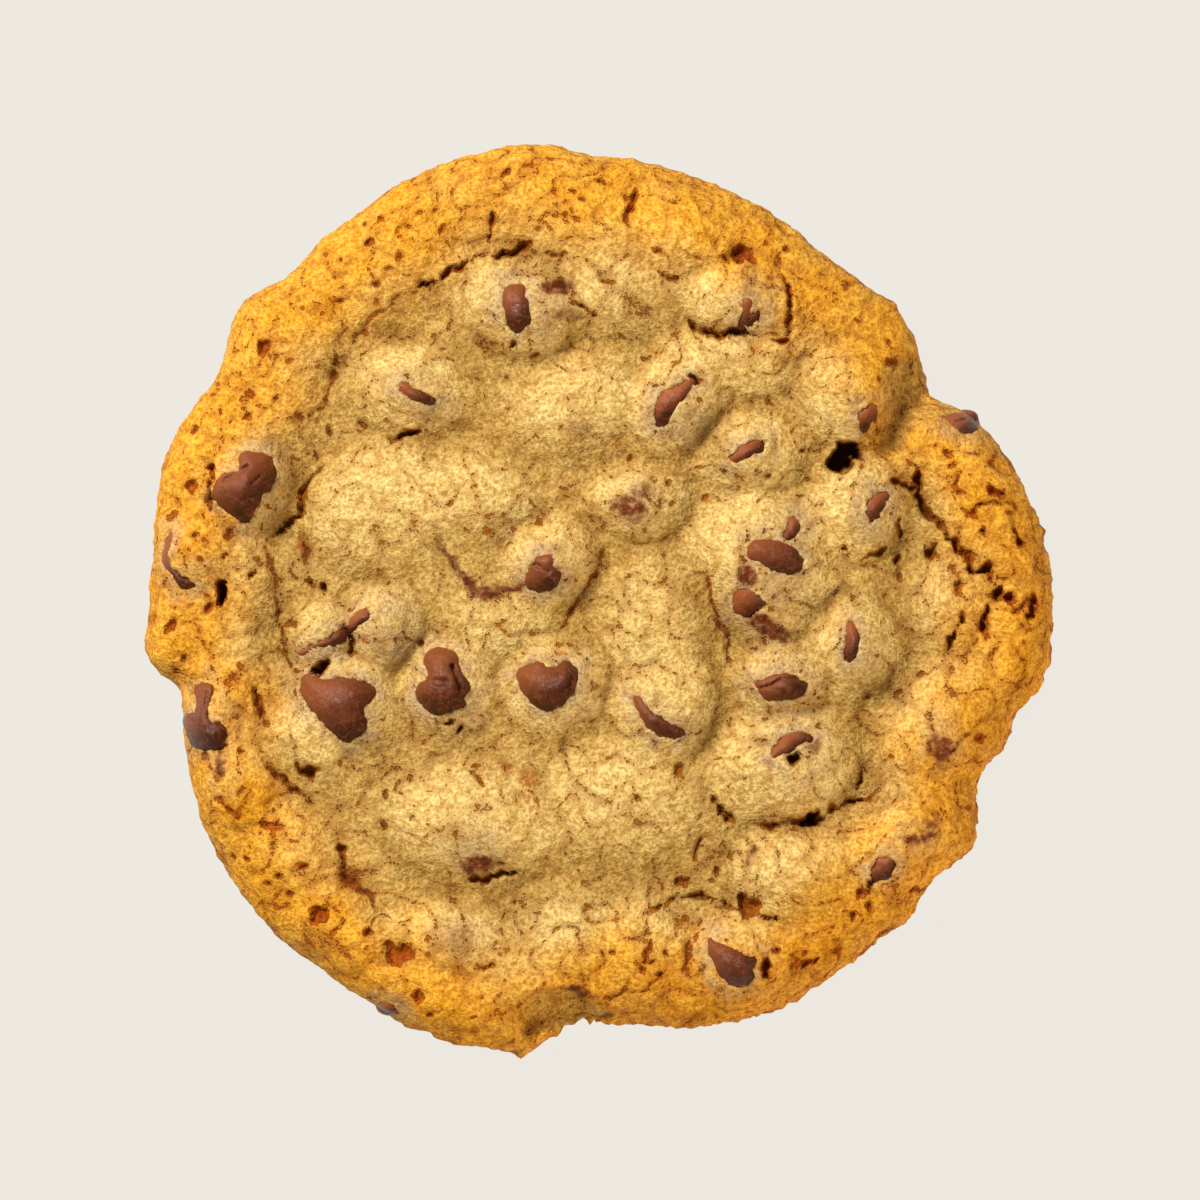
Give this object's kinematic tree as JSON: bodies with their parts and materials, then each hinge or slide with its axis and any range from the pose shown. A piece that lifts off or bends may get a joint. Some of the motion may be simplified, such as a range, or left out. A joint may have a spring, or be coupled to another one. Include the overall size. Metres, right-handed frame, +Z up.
{
  "type": "chocolate chip cookie",
  "caption": "Flat round baked cookie with a golden rounded rim, a pale cracked top risen in mounds over the chips, and melted chocolate chips showing through it.",
  "frame": {"origin": "under the middle of the cookie, on the surface that it lies on", "axes": "+Z up through the cookie, out of its top crust; +X to its right and +Y to its far side as the picture shows it from above"},
  "size_m": [0.1007, 0.1006, 0.0106],
  "materials": {
    "dough": "dry baked crust, matt and sandy, golden at the rim and paler in the middle",
    "chocolate": "milk chocolate that melted and set again, satin, slightly wrinkled"
  },
  "bodies": {
    "root": {"dough": "dough", "chip_01": "chocolate", "chip_02": "chocolate", "chip_03": "chocolate", "chip_04": "chocolate", "chip_05": "chocolate", "chip_06": "chocolate", "chip_07": "chocolate", "chip_08": "chocolate", "chip_09": "chocolate", "chip_10": "chocolate", "chip_11": "chocolate", "chip_12": "chocolate", "chip_13": "chocolate", "chip_14": "chocolate", "chip_15": "chocolate", "chip_16": "chocolate", "chip_17": "chocolate", "chip_18": "chocolate", "chip_19": "chocolate", "chip_20": "chocolate", "chip_21": "chocolate", "chip_22": "chocolate", "chip_23": "chocolate", "chip_24": "chocolate", "chip_25": "chocolate", "chip_26": "chocolate", "chip_27": "chocolate"}
  },
  "joints": []
}
